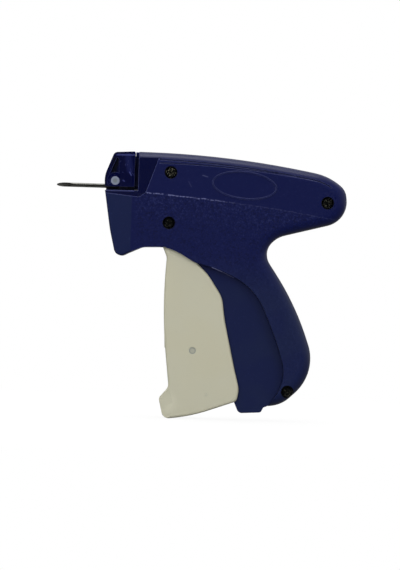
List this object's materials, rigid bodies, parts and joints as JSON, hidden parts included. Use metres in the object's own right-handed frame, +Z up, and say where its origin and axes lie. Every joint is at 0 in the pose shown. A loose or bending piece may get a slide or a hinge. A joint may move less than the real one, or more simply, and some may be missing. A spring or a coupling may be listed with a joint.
{
  "type": "garment tag attacher",
  "caption": "Pistol-grip garment tag attacher: a trigger and lever drive a push rod through a hollow needle under a hinged cover, and a ratchet wheel feeds the clip.",
  "frame": {"origin": "on the needle's axis, in the middle plane, where the needle leaves the nose", "axes": "-X along the needle towards its point, +Z up, +Y towards the user's right hand side"},
  "size_m": [0.1516, 0.0267, 0.1382],
  "materials": {
    "navy_shell": "fine spark-eroded moulded ABS",
    "navy_cover": "polished moulded plastic",
    "ivory_trigger": "satin moulded plastic",
    "acetal": "natural acetal",
    "seat_plastic": "dark moulded plastic",
    "bright_steel": "ground steel",
    "black_screw": "black oxide",
    "grey_pin": "satin",
    "rubber": "matte"
  },
  "bodies": {
    "body": {"left_case": "navy_shell", "right_case": "navy_shell", "case_screws": "black_screw", "needle_seat": "seat_plastic", "clip_guide": "bright_steel", "cutter_blade": "bright_steel", "needle_tube": "bright_steel", "needle_hub": "seat_plastic", "cover_pin": "grey_pin", "trigger_sleeve": "bright_steel", "lever_pin": "bright_steel", "slide_bumper": "rubber", "feed_axle": "bright_steel", "detent_spring": "bright_steel", "return_spring": "bright_steel"},
    "trigger": {"trigger": "ivory_trigger", "drive_pin": "bright_steel", "pawl_pin": "bright_steel", "pawl_spring": "bright_steel"},
    "lever": {"drive_lever": "acetal", "tip_pin": "bright_steel"},
    "slide": {"slide": "acetal", "push_rod": "bright_steel", "rod_screw": "bright_steel"},
    "wheel": {"feed_wheel": "acetal"},
    "pawl": {"feed_pawl": "bright_steel"},
    "cover": {"needle_cover": "navy_cover"}
  },
  "joints": [
    {"name": "trigger_pull", "type": "hinge", "parent": "body", "child": "trigger", "pos_m": [0.0339, 0, -0.0185], "axis": [0, -1, 0], "range_deg": [0, 14], "stiffness_Nm_per_rad": 4, "springref_deg": -8.59},
    {"name": "lever_swing", "type": "hinge", "parent": "body", "child": "lever", "pos_m": [0.06, 0, -0.055], "axis": [0, -1, 0], "range_deg": [0, 48], "deforming": ["return_spring"]},
    {"name": "slide_stroke", "type": "slide", "parent": "body", "child": "slide", "axis": [-1, 0, 0], "range_m": [0, 0.0456]},
    {"name": "wheel_feed", "type": "hinge", "parent": "body", "child": "wheel", "pos_m": [0.0263, 0, -0.009], "axis": [0, 1, 0], "range_deg": [0, 20]},
    {"name": "pawl_follow", "type": "hinge", "parent": "trigger", "child": "pawl", "pos_m": [0.027, 0, -0.0173], "axis": [0, 1, 0], "range_deg": [0, 14]},
    {"name": "cover_hinge", "type": "hinge", "parent": "body", "child": "cover", "pos_m": [0.00527, 0, 0.0027], "axis": [0, -1, 0], "range_deg": [0, 28]}
  ],
  "couplings": [
    {"joint": "lever_swing", "follows": "trigger_pull", "ratio": 3.4286},
    {"joint": "slide_stroke", "follows": "trigger_pull", "m_per_rad": 0.18643},
    {"joint": "wheel_feed", "follows": "trigger_pull", "ratio": 1.4286},
    {"joint": "pawl_follow", "follows": "trigger_pull", "ratio": 1}
  ]
}
